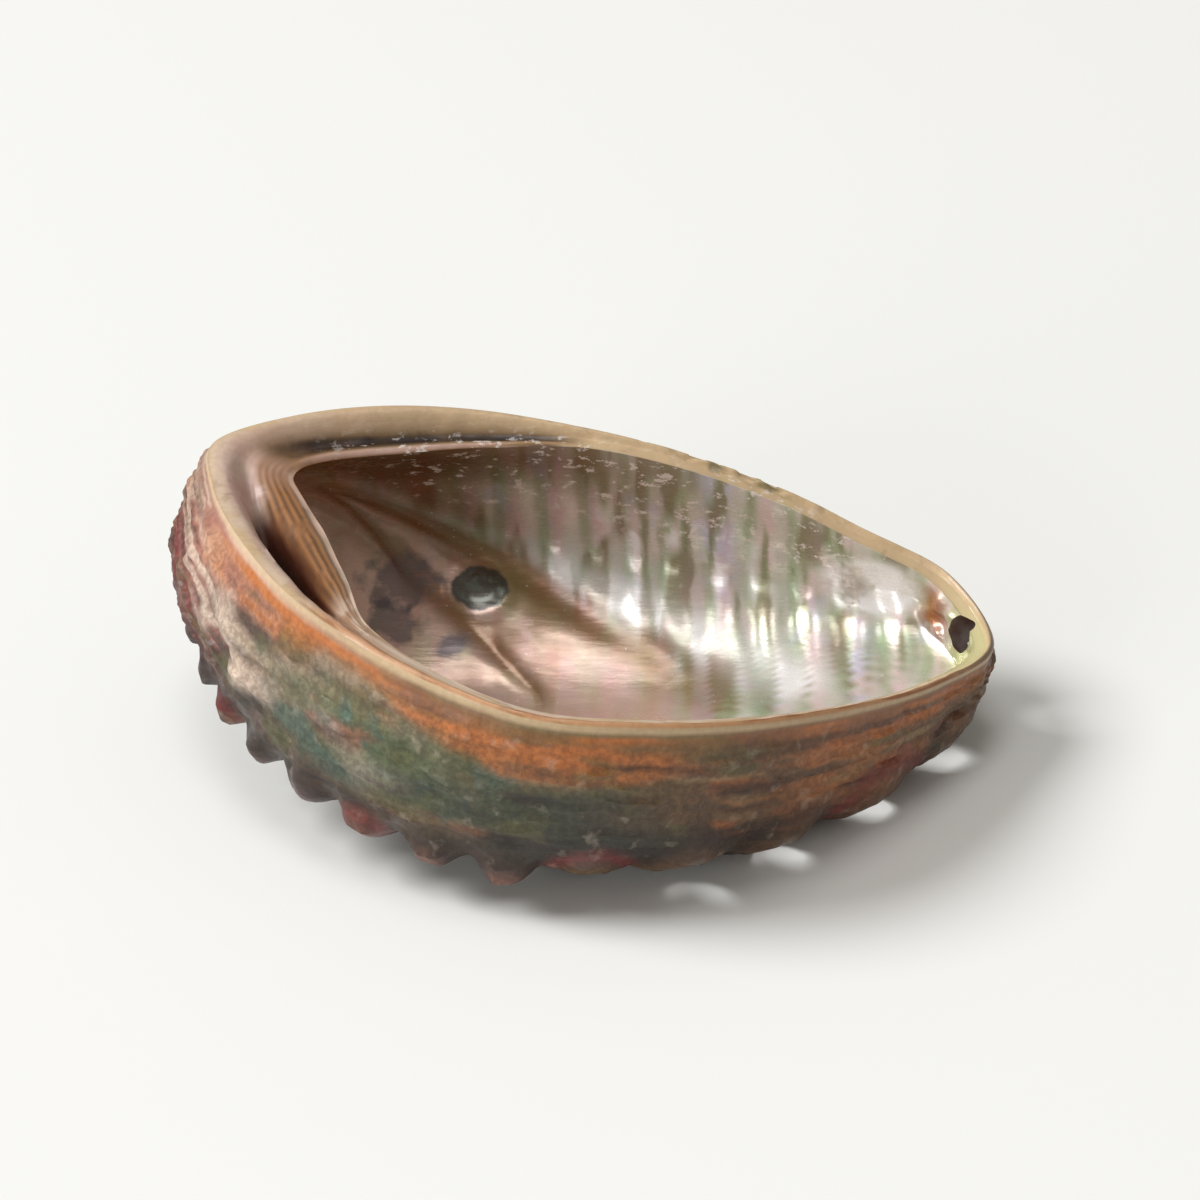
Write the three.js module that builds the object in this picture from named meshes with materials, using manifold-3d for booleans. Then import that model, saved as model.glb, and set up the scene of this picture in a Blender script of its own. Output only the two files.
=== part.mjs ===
// Abalone shell lying on its back with the opening up.
// Millimetres, +Z up, +X towards the front tip, +Y towards the free outer lip.
import * as THREE from "three";
import { mergeVertices } from "three/addons/utils/BufferGeometryUtils.js";
import Module from "manifold-3d";

// Stations run anticlockwise round the opening, seen from above, starting at the front tip.
// rim is the outer edge, keel the widest line of the wall, lip the inner edge of the rim's shelf.
// hollow is how deep the shelf is dished between rim and lip, taper how far down the wall
// the lip's thickening fades out, as a share of the wall.
const stations = [
  { rim: [44.2, 1.9, 12.0], keel: [38.8, 1.5, 4.4], lip: [42.0, 2.2, 11.6], hollow: 0, taper: 0.15 },
  { rim: [40.2, 12.8, 14.5], keel: [35.8, 9.2, 6.0], lip: [38.4, 11.2, 14.2], hollow: 0, taper: 0.15 },
  { rim: [31.2, 16.8, 17.8], keel: [28.5, 13.2, 6.6], lip: [30.4, 14.6, 17.4], hollow: 0, taper: 0.15 },
  { rim: [21.7, 19.6, 21.6], keel: [20.0, 16.4, 7.4], lip: [21.1, 17.3, 21.2], hollow: 0, taper: 0.15 },
  { rim: [11.0, 21.0, 25.3], keel: [10.5, 18.4, 8.8], lip: [10.8, 18.4, 24.8], hollow: 0, taper: 0.15 },
  { rim: [0.0, 22.3, 27.8], keel: [0.0, 20.4, 10.5], lip: [0.2, 19.2, 27.0], hollow: 0.3, taper: 0.16 },
  { rim: [-11.0, 23.0, 29.7], keel: [-11.0, 21.6, 12.5], lip: [-10.8, 18.4, 27.5], hollow: 0.9, taper: 0.18 },
  { rim: [-22.0, 21.3, 31.2], keel: [-22.0, 21.6, 15.0], lip: [-20.5, 16.6, 27.7], hollow: 1.2, taper: 0.2 },
  { rim: [-32.0, 18.3, 31.5], keel: [-33.0, 20.0, 18.0], lip: [-28.6, 14.2, 28.0], hollow: 0.6, taper: 0.24 },
  { rim: [-40.2, 13.2, 31.0], keel: [-41.0, 15.5, 19.8], lip: [-31.6, 11.0, 27.9], hollow: 0.2, taper: 0.4 },
  { rim: [-39.8, 5.0, 30.0], keel: [-43.2, 6.5, 18.7], lip: [-30.0, 5.8, 27.6], hollow: 2.0, taper: 0.5 },
  { rim: [-36.6, -6.3, 30.8], keel: [-40.4, -3.8, 14.8], lip: [-27.2, -2.0, 27.3], hollow: 7.0, taper: 0.55 },
  { rim: [-31.2, -16.8, 30.2], keel: [-34.8, -13.2, 11.4], lip: [-24.6, -10.9, 27.2], hollow: 5.0, taper: 0.5 },
  { rim: [-24.7, -24.2, 29.0], keel: [-26.4, -22.4, 8.8], lip: [-21.8, -20.8, 27.6], hollow: 0.3, taper: 0.35 },
  { rim: [-15.6, -30.9, 27.2], keel: [-16.3, -28.2, 7.0], lip: [-14.1, -28.6, 26.6], hollow: 0, taper: 0.2 },
  { rim: [-5.0, -35.0, 25.3], keel: [-6.0, -31.5, 6.4], lip: [-4.6, -32.6, 24.9], hollow: 0, taper: 0.15 },
  { rim: [7.0, -34.2, 23.8], keel: [4.8, -30.8, 5.8], lip: [6.2, -31.8, 23.4], hollow: 0, taper: 0.15 },
  { rim: [18.0, -29.2, 21.3], keel: [15.0, -25.2, 4.0], lip: [16.8, -27.2, 20.9], hollow: 0, taper: 0.15 },
  { rim: [28.5, -20.3, 17.7], keel: [25.0, -16.6, 2.6], lip: [26.9, -19.0, 17.3], hollow: 0, taper: 0.15 },
  { rim: [37.5, -9.5, 14.0], keel: [33.8, -6.8, 2.8], lip: [35.8, -8.4, 13.6], hollow: 0, taper: 0.15 },
];
const bottom = [-8, -4, -0.12];
const wall = 1.8; // thickness away from the rim
const bulge = 1.6; // outward swell of the wall between rim and keel
const hollowAt = 0.45; // where the shelf's hollow is deepest, from rim to lip
const hollowWidth = 0.15;

// The coiled spire on the back, as seen in plan.
const spire = { x: -24, y: 11, radius: 14, height: 4.6, turn: 0.42, sutureRadius: 18, groove: 1.3 };

// The whorls that stand out on the spire, as one coil that tapers to its tip.
const coil = { from: 0.12, turns: 1.7, steps: 30, sides: 7, middle: 0.7, thick: 0.26, rise: 0.14 };

// The row of tubercles along the keel: the front ones are open breathing holes.
const row = { first: 19.55, step: 1.1, shrink: 0.925, count: 17, keelAt: 0.52 };
const holeRadii = [2.5, 2.5, 2.2, 2.1, 1.0];
const frontHole = { station: 0.42, level: 0.2, radius: 1.8 };

const columns = 92;
const outerRows = 17;
const innerRows = 12;
const shelfSteps = [0.1, 0.25, 0.36, 0.45, 0.56, 0.75, 1];
const innerStart = 0.12; // share of the wall, down from the rim, where the inside begins

function blend(a, b, c, d, f) {
  const bend = 2 * a - 5 * b + 4 * c - d;
  return 0.5 * (2 * b + (c - a) * f + bend * f * f + (3 * b - a - 3 * c + d) * f ** 3);
}

// A smooth closed curve through one value of every station.
function around(pick, t) {
  const i = Math.floor(t);
  const at = (k) => pick(stations[(i + k + stations.length * 2) % stations.length]);
  return blend(at(-1), at(0), at(1), at(2), t - i);
}

function aroundPoint(key, t) {
  return new THREE.Vector3(...[0, 1, 2].map((axis) => around((s) => s[key][axis], t)));
}

function outward(t) {
  const along = aroundPoint("rim", t + 0.25).sub(aroundPoint("rim", t - 0.25));
  return new THREE.Vector3(along.y, -along.x, 0).normalize();
}

function middle(keel) {
  const [x, y] = bottom;
  return new THREE.Vector3((keel.x + x) / 2, (keel.y + y) / 2, 0.15 * keel.z - 0.1);
}

// How far the spire stands below the plain back at a place in plan.
function spireDrop(x, y, grooved) {
  const dx = x - spire.x;
  const dy = y - spire.y;
  const r = Math.max(Math.hypot(dx, dy), 0.8);
  const cone = spire.height * Math.max(0, 1 - r / spire.radius) ** 1.25;
  if (!grooved) return 0.8 * cone;
  const turns = (Math.atan2(dy, dx) - Math.PI - Math.log(r / spire.sutureRadius) / spire.turn) / (2 * Math.PI);
  const offSuture = (turns - Math.round(turns)) * 2 * Math.PI * spire.turn * r;
  const depth = Math.min(spire.groove, 0.16 * r) * Math.max(0, Math.min(1, (20 - r) / 4));
  return cone - depth * Math.exp(-((offSuture / (0.5 + 0.09 * r)) ** 2));
}

// The plain outer surface: level runs from 0 at the rim to 1 at the bottom.
function outerPoint(t, level, grooved) {
  const rim = aroundPoint("rim", t);
  const keel = aroundPoint("keel", t);
  const swell = rim.clone().lerp(keel, 0.5).addScaledVector(outward(t), bulge);
  const above = rim.clone().multiplyScalar(1.6).addScaledVector(swell, -0.6);
  const far = middle(aroundPoint("keel", t + stations.length / 2));
  const control = [above, rim, swell, keel, middle(keel), new THREE.Vector3(...bottom), far];
  const spans = control.length - 3;
  const i = Math.min(Math.floor(level * spans), spans - 1);
  const f = level * spans - i;
  const p = new THREE.Vector3();
  for (const axis of ["x", "y", "z"]) {
    p[axis] = blend(control[i][axis], control[i + 1][axis], control[i + 2][axis], control[i + 3][axis], f);
  }
  const onBack = THREE.MathUtils.smoothstep(level, 0.3, 0.55);
  p.z -= onBack * spireDrop(p.x, p.y, grooved);
  return p;
}

function outerNormal(t, level) {
  const l = Math.min(Math.max(level, 0.02), 0.98);
  const alongT = outerPoint(t + 0.05, l, false).sub(outerPoint(t - 0.05, l, false));
  const alongL = outerPoint(t, l + 0.01, false).sub(outerPoint(t, l - 0.01, false));
  return alongL.cross(alongT).normalize();
}

function innerWall(t, level) {
  if (level >= 1) return new THREE.Vector3(bottom[0], bottom[1], bottom[2] + wall);
  return outerPoint(t, level, false).addScaledVector(outerNormal(t, level), -wall);
}

// The shelf between the rim's edge and the lip, with its rounded shoulder and its hollow.
function shelfPoint(t, share) {
  const p = aroundPoint("rim", t).lerp(aroundPoint("lip", t), share);
  const hollow = Math.max(0, around((s) => s.hollow, t));
  p.z += 0.5 * Math.sin(Math.PI * Math.min(1, share / 0.4));
  p.z -= hollow * Math.exp(-(((share - hollowAt) / hollowWidth) ** 2));
  return p;
}

// The inside, from the lip at depth 0 to the bottom at depth 1.
function innerPoint(t, depth) {
  const start = innerWall(t, innerStart);
  const taper = around((s) => s.taper, t);
  const fade = Math.max(0, 1 - depth / taper) ** 1.6;
  const p = innerWall(t, innerStart + (1 - innerStart) * depth);
  return p.addScaledVector(aroundPoint("lip", t).sub(start), fade);
}

function shellRings() {
  const rings = [];
  const ring = (make) => {
    const points = [];
    for (let c = 0; c < columns; c++) points.push(make((c * stations.length) / columns));
    rings.push(points);
  };
  for (let r = 1; r <= outerRows; r++) ring((t) => outerPoint(t, 1 - r / (outerRows + 1), true));
  ring((t) => aroundPoint("rim", t));
  for (const share of shelfSteps) ring((t) => shelfPoint(t, share));
  for (let r = 1; r <= innerRows; r++) ring((t) => innerPoint(t, (r / (innerRows + 1)) ** 1.15));
  return rings;
}

// One closed surface: the outside from the bottom up, over the rim and down the inside.
function shellGeometry() {
  const rings = shellRings();
  const outerPole = outerPoint(0, 1, true);
  const innerPole = innerWall(0, 1);
  const points = [outerPole, ...rings.flat(), innerPole];
  const index = [];
  const at = (r, c) => 1 + r * columns + (c % columns);
  for (let c = 0; c < columns; c++) {
    index.push(0, at(0, c + 1), at(0, c));
    for (let r = 0; r + 1 < rings.length; r++) {
      index.push(at(r, c), at(r, c + 1), at(r + 1, c + 1));
      index.push(at(r, c), at(r + 1, c + 1), at(r + 1, c));
    }
    index.push(points.length - 1, at(rings.length - 1, c), at(rings.length - 1, c + 1));
  }
  const geometry = new THREE.BufferGeometry().setFromPoints(points);
  geometry.setIndex(index);
  return geometry;
}

const wasm = await Module();
wasm.setup();

function toSolid(geometry) {
  const plain = geometry.clone();
  plain.deleteAttribute("normal");
  plain.deleteAttribute("uv");
  const merged = mergeVertices(plain, 1e-4);
  return new wasm.Manifold(
    new wasm.Mesh({
      numProp: 3,
      vertProperties: new Float32Array(merged.attributes.position.array),
      triVerts: new Uint32Array(merged.index.array),
    }),
  );
}

function toGeometry(solid) {
  const mesh = solid.getMesh();
  const geometry = new THREE.BufferGeometry();
  geometry.setAttribute("position", new THREE.BufferAttribute(mesh.vertProperties, 3));
  geometry.setIndex(new THREE.BufferAttribute(mesh.triVerts, 1));
  return geometry;
}

// Turns a geometry's +Y to a direction and moves it to a point.
function place(geometry, point, direction) {
  const turn = new THREE.Quaternion().setFromUnitVectors(new THREE.Vector3(0, 1, 0), direction);
  return geometry.applyQuaternion(turn).translate(point.x, point.y, point.z);
}

function rowStations() {
  const found = [];
  let t = row.first;
  for (let n = 0; n < row.count; n++) {
    const step = row.step * row.shrink ** n;
    const size = outerPoint(t, row.keelAt, true).distanceTo(outerPoint(t - step, row.keelAt, true));
    found.push({ t, size });
    t -= step;
  }
  return found;
}

function tubercle({ t, size }) {
  const knob = new THREE.SphereGeometry(1, 8, 5).scale(0.29 * size, 0.26 * size, 0.29 * size);
  return place(knob, outerPoint(t, row.keelAt, true), outerNormal(t, row.keelAt));
}

// Height of the outside of the back at a place in plan, taken from the nearest grid point.
function backHeight(x, y) {
  let best = { gap: Infinity, z: 0 };
  for (let t = 6; t <= 14; t += 0.2) {
    for (let level = 0.5; level <= 1; level += 0.02) {
      const p = outerPoint(t, level, false);
      const gap = Math.hypot(p.x - x, p.y - y);
      if (gap < best.gap) best = { gap, z: p.z };
    }
  }
  return best.z;
}

// A tapering tube wound along the middle of the spire's whorls, closed at both ends.
function coilGeometry() {
  const points = [];
  const index = [];
  for (let i = 0; i <= coil.steps; i++) {
    const back = 2 * Math.PI * (coil.from + (coil.turns * i) / coil.steps);
    const r = coil.middle * spire.sutureRadius * Math.exp(-spire.turn * back);
    const angle = Math.PI - back;
    const x = spire.x + r * Math.cos(angle);
    const y = spire.y + r * Math.sin(angle);
    const z = backHeight(x, y) + coil.rise * r;
    const thick = coil.thick * r * Math.min(1, 0.25 + i / 6);
    for (let k = 0; k < coil.sides; k++) {
      const a = (2 * Math.PI * k) / coil.sides;
      const across = thick * Math.cos(a);
      const up = thick * Math.sin(a);
      points.push(new THREE.Vector3(x + across * Math.cos(angle), y + across * Math.sin(angle), z + up));
    }
  }
  const at = (i, k) => i * coil.sides + (k % coil.sides);
  for (let k = 0; k < coil.sides; k++) {
    for (let i = 0; i < coil.steps; i++) {
      index.push(at(i, k), at(i + 1, k), at(i + 1, k + 1));
      index.push(at(i, k), at(i + 1, k + 1), at(i, k + 1));
    }
    if (k > 1) {
      index.push(at(0, 0), at(0, k - 1), at(0, k));
      index.push(at(coil.steps, 0), at(coil.steps, k), at(coil.steps, k - 1));
    }
  }
  const geometry = new THREE.BufferGeometry().setFromPoints(points);
  geometry.setIndex(index);
  return geometry;
}

function bore(t, level, radius) {
  const tool = new THREE.CylinderGeometry(radius, radius, 12, 12);
  return place(tool, outerPoint(t, level, true), outerNormal(t, level));
}

// The body alone, without the slivers left where the coil grazes the back.
function bodyOf(solid) {
  return solid.decompose().reduce((a, b) => (a.volume() > b.volume() ? a : b));
}

function shellSolid() {
  const places = rowStations();
  let solid = toSolid(shellGeometry());
  solid = solid.add(toSolid(coilGeometry()));
  for (const spot of places) solid = solid.add(toSolid(tubercle(spot)));
  holeRadii.forEach((radius, n) => {
    solid = solid.subtract(toSolid(bore(places[n].t, row.keelAt, radius)));
  });
  solid = solid.subtract(toSolid(bore(frontHole.station, frontHole.level, frontHole.radius)));
  const worn = new THREE.BoxGeometry(200, 200, 20).translate(0, 0, -10);
  return bodyOf(solid.subtract(toSolid(worn)));
}

const geometry = toGeometry(shellSolid());
geometry.computeBoundingBox();
const { min, max } = geometry.boundingBox;
geometry.translate(-(min.x + max.x) / 2, -(min.y + max.y) / 2, -min.z);

const material = new THREE.MeshStandardMaterial({ color: 0xa08468, roughness: 0.35, metalness: 0.0 });
const shell = new THREE.Mesh(geometry, material);
shell.name = "shell";

const abalone = new THREE.Group();
abalone.add(shell);

export default abalone;
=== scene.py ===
import math

import bpy
import numpy as np
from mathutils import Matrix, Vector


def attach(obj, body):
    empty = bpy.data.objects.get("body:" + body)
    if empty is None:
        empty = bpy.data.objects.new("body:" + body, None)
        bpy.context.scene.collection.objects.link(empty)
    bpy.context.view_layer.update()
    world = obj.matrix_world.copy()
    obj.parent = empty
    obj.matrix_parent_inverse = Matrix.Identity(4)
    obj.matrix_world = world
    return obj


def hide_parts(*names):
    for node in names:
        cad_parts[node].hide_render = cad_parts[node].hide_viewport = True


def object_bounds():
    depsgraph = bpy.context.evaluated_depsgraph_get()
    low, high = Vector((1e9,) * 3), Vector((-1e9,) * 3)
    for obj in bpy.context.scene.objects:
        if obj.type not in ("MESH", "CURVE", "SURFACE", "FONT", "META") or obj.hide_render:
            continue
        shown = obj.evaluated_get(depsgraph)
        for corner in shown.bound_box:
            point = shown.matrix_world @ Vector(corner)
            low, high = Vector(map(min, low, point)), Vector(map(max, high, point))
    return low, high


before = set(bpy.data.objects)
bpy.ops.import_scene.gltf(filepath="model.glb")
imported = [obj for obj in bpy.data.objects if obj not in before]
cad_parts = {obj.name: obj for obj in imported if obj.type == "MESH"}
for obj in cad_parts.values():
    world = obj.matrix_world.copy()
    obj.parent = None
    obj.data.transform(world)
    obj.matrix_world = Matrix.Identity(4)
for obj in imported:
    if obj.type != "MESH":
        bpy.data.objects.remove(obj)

cadBox = [list(map(float, corner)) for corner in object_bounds()]
print("frame loaded")

# Places round the shell as x, y and z in millimetres, anticlockwise from the front tip.
# hollow is how deep the shelf is dished, taper the share of the wall over which the lip fades out.
shell = {
    "rim": [
        (44.2, 1.9, 12.0), (40.2, 12.8, 14.5), (31.2, 16.8, 17.8), (21.7, 19.6, 21.6),
        (11.0, 21.0, 25.3), (0.0, 22.3, 27.8), (-11.0, 23.0, 29.7), (-22.0, 21.3, 31.2),
        (-32.0, 18.3, 31.5), (-40.2, 13.2, 31.0), (-39.8, 5.0, 30.0), (-36.6, -6.3, 30.8),
        (-31.2, -16.8, 30.2), (-24.7, -24.2, 29.0), (-15.6, -30.9, 27.2), (-5.0, -35.0, 25.3),
        (7.0, -34.2, 23.8), (18.0, -29.2, 21.3), (28.5, -20.3, 17.7), (37.5, -9.5, 14.0),
    ],
    "keel": [
        (38.8, 1.5, 4.4), (35.8, 9.2, 6.0), (28.5, 13.2, 6.6), (20.0, 16.4, 7.4),
        (10.5, 18.4, 8.8), (0.0, 20.4, 10.5), (-11.0, 21.6, 12.5), (-22.0, 21.6, 15.0),
        (-33.0, 20.0, 18.0), (-41.0, 15.5, 19.8), (-43.2, 6.5, 18.7), (-40.4, -3.8, 14.8),
        (-34.8, -13.2, 11.4), (-26.4, -22.4, 8.8), (-16.3, -28.2, 7.0), (-6.0, -31.5, 6.4),
        (4.8, -30.8, 5.8), (15.0, -25.2, 4.0), (25.0, -16.6, 2.6), (33.8, -6.8, 2.8),
    ],
    "lip": [
        (42.0, 2.2, 11.6), (38.4, 11.2, 14.2), (30.4, 14.6, 17.4), (21.1, 17.3, 21.2),
        (10.8, 18.4, 24.8), (0.2, 19.2, 27.0), (-10.8, 18.4, 27.5), (-20.5, 16.6, 27.7),
        (-28.6, 14.2, 28.0), (-31.6, 11.0, 27.9), (-30.0, 5.8, 27.6), (-27.2, -2.0, 27.3),
        (-24.6, -10.9, 27.2), (-21.8, -20.8, 27.6), (-14.1, -28.6, 26.6), (-4.6, -32.6, 24.9),
        (6.2, -31.8, 23.4), (16.8, -27.2, 20.9), (26.9, -19.0, 17.3), (35.8, -8.4, 13.6),
    ],
    "hollow": [0, 0, 0, 0, 0, 0.3, 0.9, 1.2, 0.6, 0.2, 3.0, 6.0, 4.6, 0.3, 0, 0, 0, 0, 0, 0],
    "hollowAt": 0.44,
    "hollowNear": 0.13,
    "hollowFar": 0.2,
    "taper": [0.15, 0.15, 0.15, 0.15, 0.15, 0.16, 0.18, 0.2, 0.24, 0.4,
              0.5, 0.55, 0.5, 0.35, 0.2, 0.15, 0.15, 0.15, 0.15, 0.15],
    "bottom": (-8.0, -4.0, -0.12),
    "wall": 1.8,
    "bulge": 1.6,
    "innerStart": 0.12,
    "columns": 540,
    "outerRows": 68,
    "shelfRows": 24,
    "innerRows": 82,
}
spire = {
    "x": -24.0, "y": 11.0, "radius": 14.0, "height": 4.6,
    "turn": 0.42, "suture": 18.0, "groove": 1.3,
}
holeRow = {
    "first": 19.55, "step": 1.1, "shrink": 0.925, "count": 17, "level": 0.52,
    "open": [2.5, 2.5, 2.2, 2.1, 1.0], "lean": 0.9, "leanTowards": (0.7, 0.0, -0.7),
    "boreReach": 6, "boreSides": 40, "boreRings": 14,
}
newestHole = {"station": 0.42, "level": 0.2, "radius": 1.8}
outerRelief = {"ribs": 24, "ribHeight": 0.2, "lumps": 0.55, "growth": 0.2, "knobs": 0.9}
innerRelief = {"waveLength": 4.7, "waveHeight": 0.2, "foldHeight": 0.4, "lumps": 0.12}
stationCount = len(shell["rim"])


# Small maths helpers

def blend(a, b, c, d, f):
    # a smooth curve from b to c, with a and d as its neighbours
    square = 2 * a - 5 * b + 4 * c - d
    cube = 3 * b - a - 3 * c + d
    return 0.5 * (2 * b + (c - a) * f + square * f ** 2 + cube * f ** 3)


def around(key, t):
    rows = np.array(shell[key], float)
    i = np.floor(t).astype(int)
    f = t - i
    if rows.ndim > 1:
        f = f[..., None]
    a, b, c, d = (rows[(i + k) % stationCount] for k in (-1, 0, 1, 2))
    return blend(a, b, c, d, f)


def unit(v):
    return v / np.maximum(np.linalg.norm(v, axis=-1, keepdims=True), 1e-9)


def ramp(x, low, high):
    f = np.clip((x - low) / (high - low), 0, 1)
    return f * f * (3 - 2 * f)


def band(x, middle, width):
    return np.exp(-((x - middle) / width) ** 2)


def between(x, low, high, soft):
    return ramp(x, low - soft, low + soft) * (1 - ramp(x, high - soft, high + soft))


def stationBand(t, middle, width):
    away = (t - middle + stationCount / 2) % stationCount - stationCount / 2
    return np.exp(-(away / width) ** 2)


def grain(p, size, seed):
    # soft random values from 0 to 1 at points p, with lumps about size across
    table = np.random.RandomState(seed).rand(32, 32, 32)
    q = p / size + 100.0
    i = np.floor(q).astype(int)
    f = q - i
    f = f * f * (3 - 2 * f)
    out = 0
    for dx in (0, 1):
        for dy in (0, 1):
            for dz in (0, 1):
                w = (f[..., 0] if dx else 1 - f[..., 0]) * (f[..., 1] if dy else 1 - f[..., 1])
                w = w * (f[..., 2] if dz else 1 - f[..., 2])
                out = out + w * table[(i[..., 0] + dx) % 32, (i[..., 1] + dy) % 32, (i[..., 2] + dz) % 32]
    return out


def mottle(p, size, seed, octaves=4):
    total = 0
    weight = 0
    for k in range(octaves):
        total = total + grain(p, size / 2 ** k, seed + k) * 0.55 ** k
        weight += 0.55 ** k
    return total / weight


def streaks(t, across, along, width, seed, octaves=3):
    # random lines that run round the shell, and close on themselves
    a = t * 2 * math.pi / stationCount
    ring = stationCount / (2 * math.pi) / along
    p = np.stack([ring * np.cos(a), ring * np.sin(a), across / width + 0.35 * np.sin(a * 3)], -1)
    return mottle(p, 1.0, seed, octaves)


# The plain shell

def outward(t):
    along = around("rim", t + 0.25) - around("rim", t - 0.25)
    return unit(np.stack([along[..., 1], -along[..., 0], 0 * along[..., 0]], -1))


def middleOf(keel):
    m = (keel + np.array(shell["bottom"])) / 2
    m[..., 2] = 0.15 * keel[..., 2] - 0.1
    return m


def sutureGroove(x, y):
    dx, dy = x - spire["x"], y - spire["y"]
    r = np.maximum(np.hypot(dx, dy), 0.8)
    turns = (np.arctan2(dy, dx) - math.pi - np.log(r / spire["suture"]) / spire["turn"]) / (2 * math.pi)
    off = (turns - np.round(turns)) * 2 * math.pi * spire["turn"] * r
    depth = np.minimum(spire["groove"], 0.16 * r) * np.clip((20 - r) / 4, 0, 1)
    return depth * np.exp(-(off / (0.5 + 0.09 * r)) ** 2)


def outerPoint(t, level, grooved=True):
    t, level = np.broadcast_arrays(np.asarray(t, float), np.asarray(level, float))
    rim, keel = around("rim", t), around("keel", t)
    swell = (rim + keel) / 2 + outward(t) * shell["bulge"]
    bottom = np.broadcast_to(np.array(shell["bottom"]), rim.shape)
    far = middleOf(around("keel", t + stationCount / 2))
    control = np.stack([1.6 * rim - 0.6 * swell, rim, swell, keel, middleOf(keel), bottom, far])
    i = np.clip(np.floor(level * 4), 0, 3).astype(int)
    f = (level * 4 - i)[..., None]
    a, b, c, d = (np.take_along_axis(control, (i + k)[None, ..., None], 0)[0] for k in range(4))
    p = blend(a, b, c, d, f)
    r = np.maximum(np.hypot(p[..., 0] - spire["x"], p[..., 1] - spire["y"]), 0.8)
    drop = spire["height"] * np.clip(1 - r / spire["radius"], 0, None) ** 1.25
    drop = drop - sutureGroove(p[..., 0], p[..., 1]) if grooved else 0.8 * drop
    p[..., 2] -= ramp(level, 0.3, 0.55) * drop
    return p


def outerNormal(t, level):
    l = np.clip(level, 0.02, 0.98)
    alongT = outerPoint(t + 0.05, l, False) - outerPoint(t - 0.05, l, False)
    alongL = outerPoint(t, l + 0.01, False) - outerPoint(t, l - 0.01, False)
    return unit(np.cross(alongL, alongT))


def innerWall(t, level):
    return outerPoint(t, level, False) - outerNormal(t, level) * shell["wall"]


def innerPoint(t, depth):
    t, depth = np.broadcast_arrays(np.asarray(t, float), np.asarray(depth, float))
    start = innerWall(t, np.full_like(depth, shell["innerStart"]))
    fade = np.clip(1 - depth / np.maximum(around("taper", t), 0.05), 0, None) ** 1.6
    wall = innerWall(t, shell["innerStart"] + (1 - shell["innerStart"]) * depth)
    return wall + (around("lip", t) - start) * fade[..., None]


def shelfPoint(t, share):
    t, share = np.broadcast_arrays(np.asarray(t, float), np.asarray(share, float))
    s = share[..., None]
    p = around("rim", t) * (1 - s) + around("lip", t) * s
    p[..., 2] += 0.5 * np.sin(math.pi * np.minimum(1, share / 0.4))
    side = np.where(share < shell["hollowAt"], shell["hollowNear"], shell["hollowFar"])
    p[..., 2] -= np.clip(around("hollow", t), 0, None) * band(share, shell["hollowAt"], side)
    return p


def tubercles():
    stations = [holeRow["first"]]
    for n in range(holeRow["count"]):
        stations.append(stations[-1] - holeRow["step"] * holeRow["shrink"] ** n)
    t = np.array(stations)
    level = np.full_like(t, holeRow["level"])
    places = outerPoint(t, level, False)
    normals = outerNormal(t, level)
    sizes = np.linalg.norm(places[1:] - places[:-1], axis=-1)
    return places[:-1], normals[:-1], sizes


# Relief of the back, in millimetres along the wall's own direction

def backRelief(t, level, p):
    fine = mottle(p, 7.0, 11)
    ribPhase = level * outerRelief["ribs"] + 1.3 * (fine - 0.5) + 0.5 * np.sin(t * 0.3 * math.pi)
    ribs = (1 - np.abs(np.sin(math.pi * ribPhase)) ** 0.8) * outerRelief["ribHeight"] * 2
    ribs = ribs * between(level, 0.06, 0.9, 0.06) * (0.5 + grain(p, 5.0, 3))
    growth = mottle(np.stack([t * 9, level * 3, 0 * t], -1), 1.0, 21, 3) - 0.5
    growth = growth * outerRelief["growth"] * 2.2
    lumps = (mottle(p, 6.5, 31) - 0.5) * outerRelief["lumps"] * 2
    small = (mottle(p, 1.6, 41, 2) - 0.5) * 0.35
    h = ribs + growth + lumps + small
    left = np.exp(-(((t - 11.6) / 1.9) ** 2)) * between(level, 0.07, 0.42, 0.05)
    knob = np.clip(grain(np.stack([t * 2.6, level * 13, 0 * t], -1), 1.0, 52) - 0.45, 0, 1) * 2
    h = h + left * knob * outerRelief["knobs"]
    h = h * ramp(level, 0.0, 0.07) * (1 - 0.85 * ramp(level, 0.8, 1.0))
    places, normals, sizes = tubercles()
    for n in range(len(places)):
        v = p - places[n]
        up = (v * normals[n]).sum(-1)
        side = np.sqrt(np.maximum((v * v).sum(-1) - up ** 2, 0))
        near = np.abs(up) < 4
        if n < len(holeRow["open"]):
            r = holeRow["open"][n]
            collar = np.exp(-(np.clip(side - r * 1.05, 0, None) / (0.24 * sizes[n])) ** 2)
            h = np.where(near, h * (1 - 0.7 * collar) + 0.12 * sizes[n] * collar, h)
        else:
            bump = np.exp(-(side / (0.36 * sizes[n])) ** 3)
            h = np.where(near, h + (0.3 if n < 9 else 0.42) * sizes[n] * bump, h)
    return h


# Folds, waves and lumps of the mother of pearl

# station and depth of the two folds that run out from the spire
foldOne = {
    "t": [0.9, 3.0, 4.65, 5.45, 6.2, 6.85, 7.7],
    "depth": [0.68, 0.625, 0.55, 0.5, 0.438, 0.345, 0.22],
}
foldTwo = {"t": [4.9, 5.3, 5.9, 6.6, 7.0, 7.6], "depth": [0.78, 0.73, 0.66, 0.55, 0.48, 0.26]}
closedSpot = {"x": -11.9, "y": 17.0, "z": 10.4, "across": 2.9, "radii": (3.0, 2.4, 2.4)}
rubbedPatch = {"place": (6.5, 17.8, 10.7), "spread": 12}


def foldShare(fold, t, depth, width):
    line = np.interp(t, fold["t"], fold["depth"])
    ends = between(t, fold["t"][0], fold["t"][-1], 0.35)
    return band(depth, line, width) * ends, depth - line


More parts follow.
